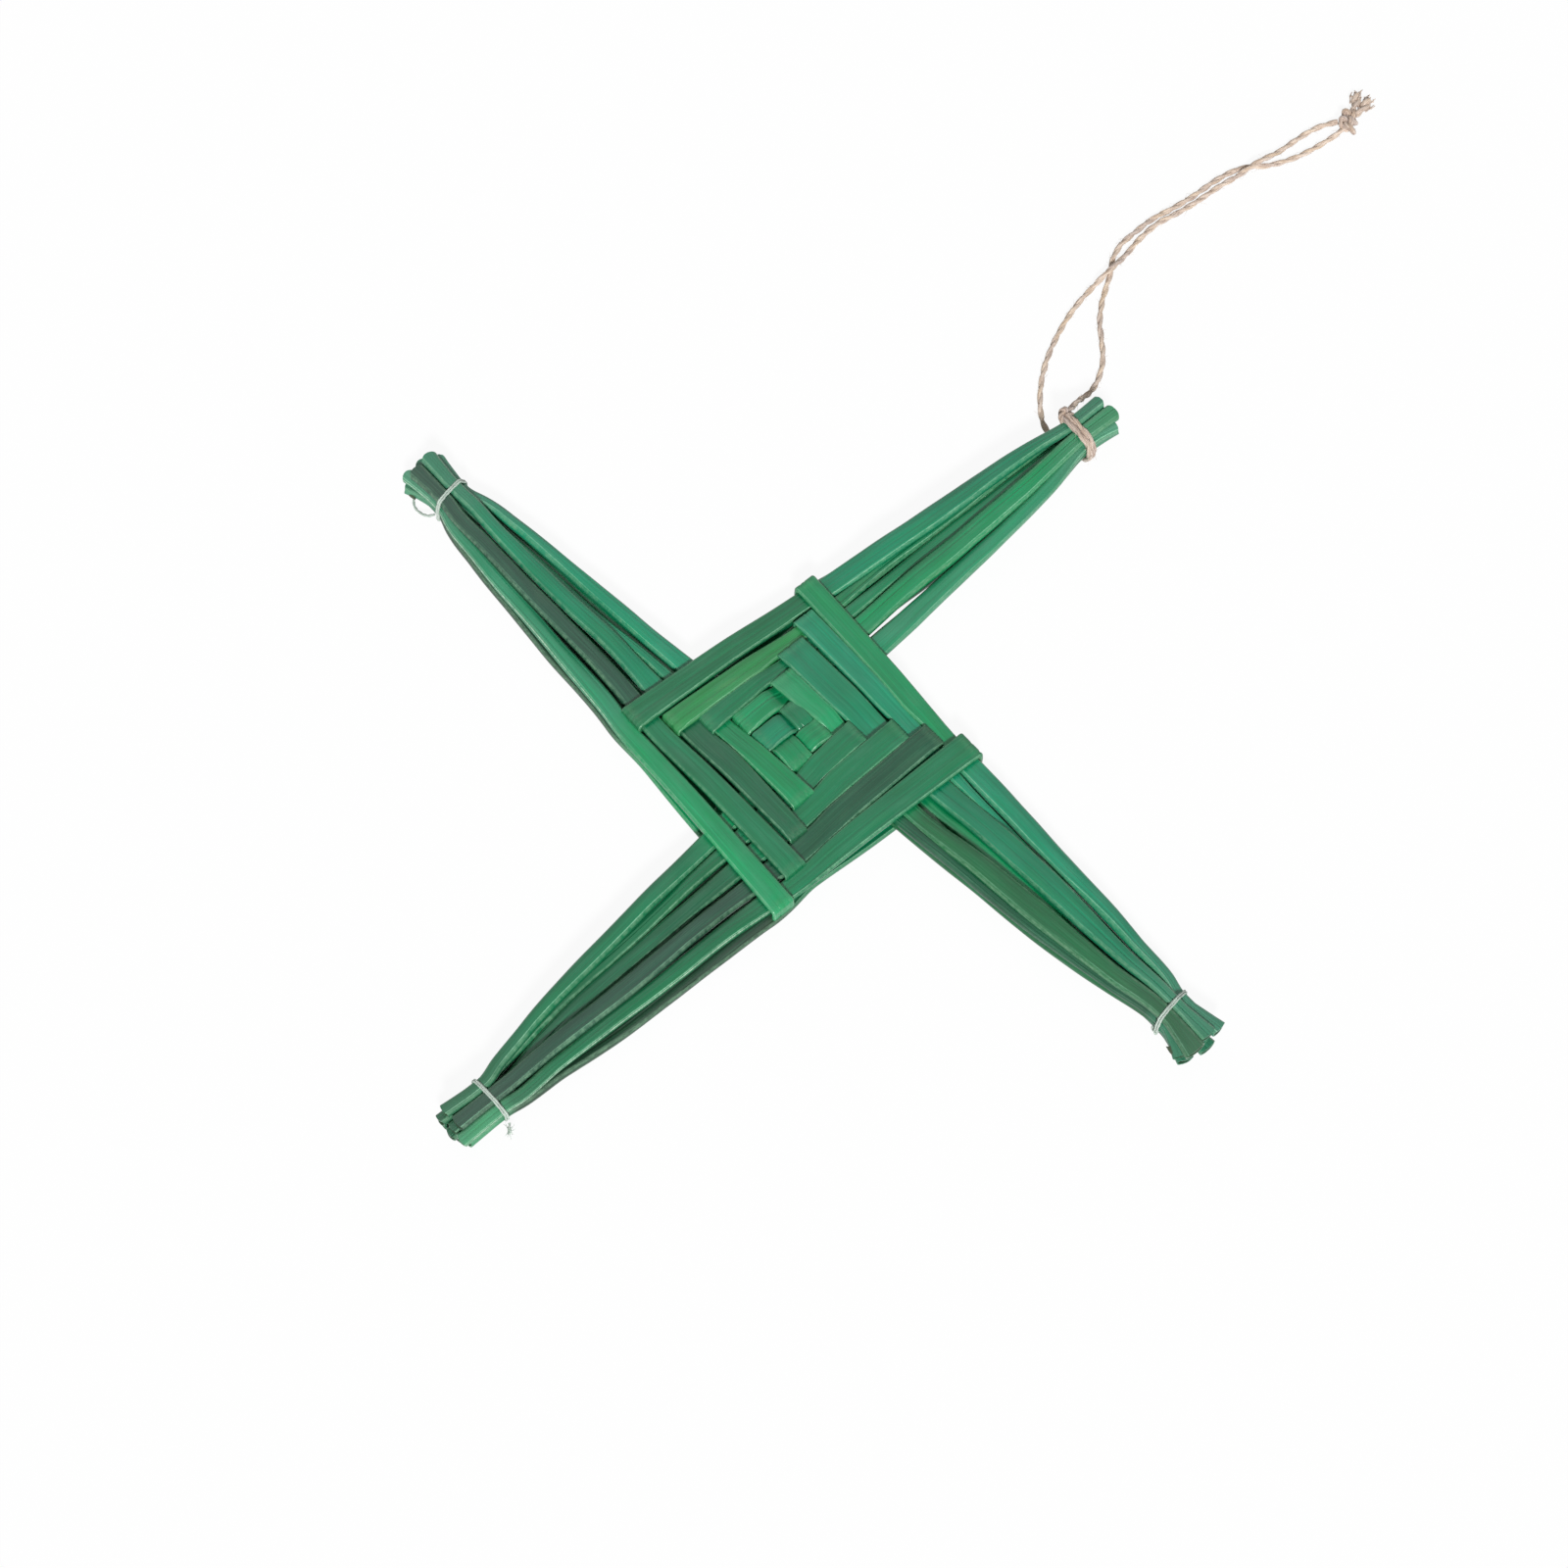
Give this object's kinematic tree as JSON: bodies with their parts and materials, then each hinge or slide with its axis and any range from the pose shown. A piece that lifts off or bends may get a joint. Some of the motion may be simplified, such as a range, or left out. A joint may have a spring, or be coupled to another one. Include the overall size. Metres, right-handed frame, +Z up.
{
  "type": "brigid cross",
  "caption": "St Brigid's cross woven from green-dyed flattened straw, its four arms tied near their ends, with a hanging loop of twine.",
  "frame": {"origin": "middle of the cross's own box, on the surface that it lies on; the hanging loop isn't counted", "axes": "+X along the arm that carries the hanging loop, +Y along the next arm counter-clockwise, +Z up out of the cross's front"},
  "size_m": [0.3028, 0.1976, 0.01],
  "materials": {
    "dyed_straw": "dyed flattened straw with a soft sheen along its grain",
    "thread": "pale cotton thread",
    "jute_twine": "two-ply natural twine, slightly hairy"
  },
  "bodies": {
    "root": {"straw_east_1": "dyed_straw", "straw_east_2": "dyed_straw", "straw_east_3": "dyed_straw", "straw_east_4": "dyed_straw", "straw_east_5": "dyed_straw", "straw_south_1": "dyed_straw", "straw_south_2": "dyed_straw", "straw_south_3": "dyed_straw", "straw_south_4": "dyed_straw", "straw_south_5": "dyed_straw", "straw_west_1": "dyed_straw", "straw_west_2": "dyed_straw", "straw_west_3": "dyed_straw", "straw_west_4": "dyed_straw", "straw_west_5": "dyed_straw", "straw_north_1": "dyed_straw", "straw_north_2": "dyed_straw", "straw_north_3": "dyed_straw", "straw_north_4": "dyed_straw", "straw_north_5": "dyed_straw", "thread_tie_south": "thread", "thread_tie_west": "thread", "thread_tie_north": "thread", "twine_binding_east": "jute_twine", "hanging_strand_upper": "jute_twine", "hanging_strand_lower": "jute_twine", "hanging_knot": "jute_twine", "hanging_twine_ends": "jute_twine"}
  },
  "joints": []
}
